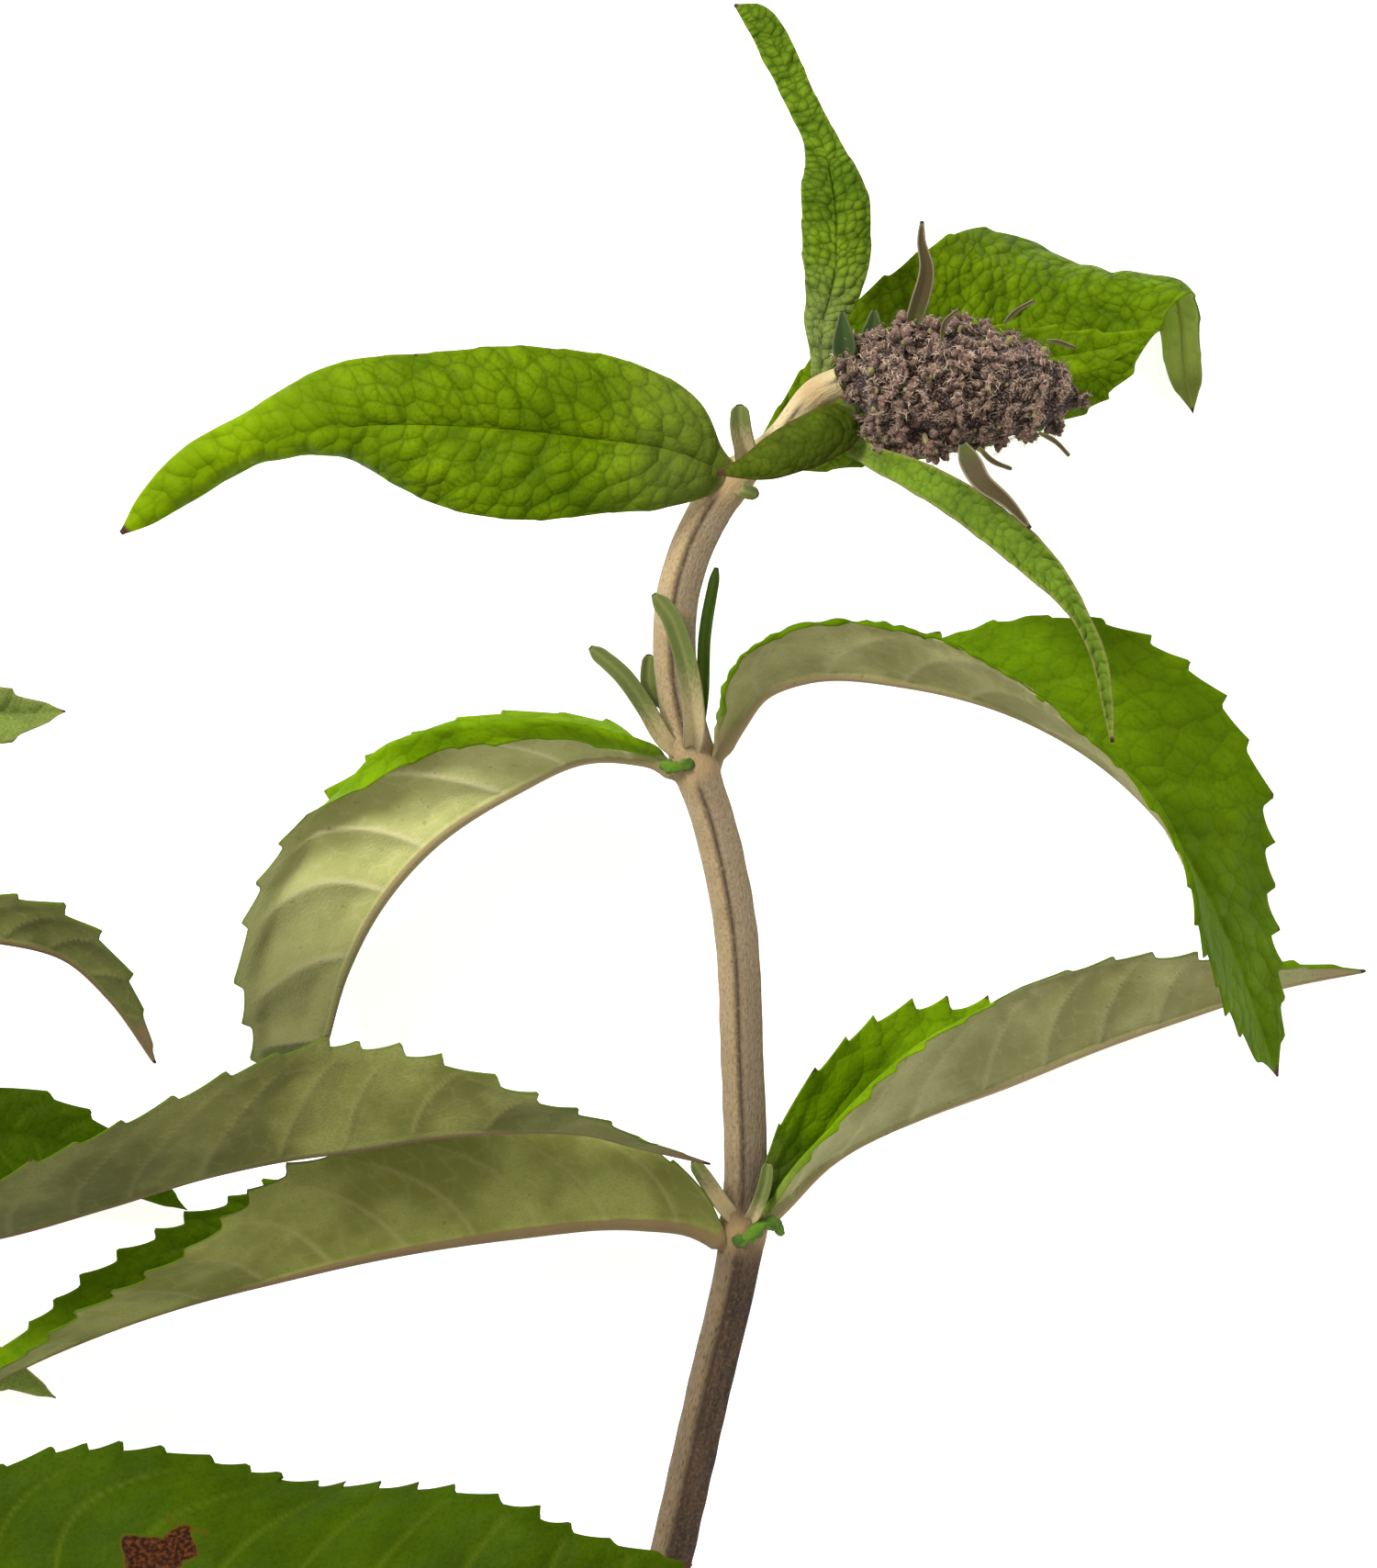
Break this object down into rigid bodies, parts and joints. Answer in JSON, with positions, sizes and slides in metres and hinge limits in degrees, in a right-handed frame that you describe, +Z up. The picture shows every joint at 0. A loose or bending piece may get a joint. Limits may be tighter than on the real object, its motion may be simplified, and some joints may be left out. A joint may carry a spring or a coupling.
{
  "type": "butterfly bush branch",
  "caption": "Cut branch of butterfly bush lying on its side: arched toothed leaves in pairs, a side shoot and a tight flower head still in bud.",
  "frame": {"origin": "on the surface that the branch lies on, under the middle of its bounding box", "axes": "+Z up from the surface, +Y from the cut end towards the flower head, +X to the side the flower head leans to"},
  "size_m": [0.2696, 0.2938, 0.0618],
  "materials": {
    "leaf": "satin",
    "young_leaf": "matte",
    "bark": "matte",
    "flower_buds": "matte"
  },
  "bodies": {
    "root": {"axil_1_left": "young_leaf", "axil_1_right": "young_leaf", "axil_2_front": "young_leaf", "axil_2_left": "young_leaf", "axil_2_left_small": "young_leaf", "axil_2_right": "young_leaf", "axil_3_left": "young_leaf", "axil_3_right": "young_leaf", "flap_2": "young_leaf", "flap_3": "young_leaf", "flower_head": "flower_buds", "leaf_00_back": "leaf", "leaf_00_front": "young_leaf", "leaf_0_left": "leaf", "leaf_0_right": "leaf", "leaf_1_left": "leaf", "leaf_1_right": "leaf", "leaf_2_left": "leaf", "leaf_2_right": "leaf", "leaf_3_left": "leaf", "leaf_3_right": "leaf", "main_stem": "bark", "side_axil_leaf_lower": "leaf", "side_axil_leaf_upper": "leaf", "side_leaf_1_left": "leaf", "side_leaf_1_right": "leaf", "side_leaf_2_left": "leaf", "side_leaf_2_right": "leaf", "side_leaf_3_left": "leaf", "side_leaf_3_right": "leaf", "side_leaf_4_left": "leaf", "side_leaf_4_right": "leaf", "side_stem_high": "bark", "side_stem_low": "bark", "side_tip_leaf_left": "young_leaf", "side_tip_leaf_right": "young_leaf"}
  },
  "joints": []
}
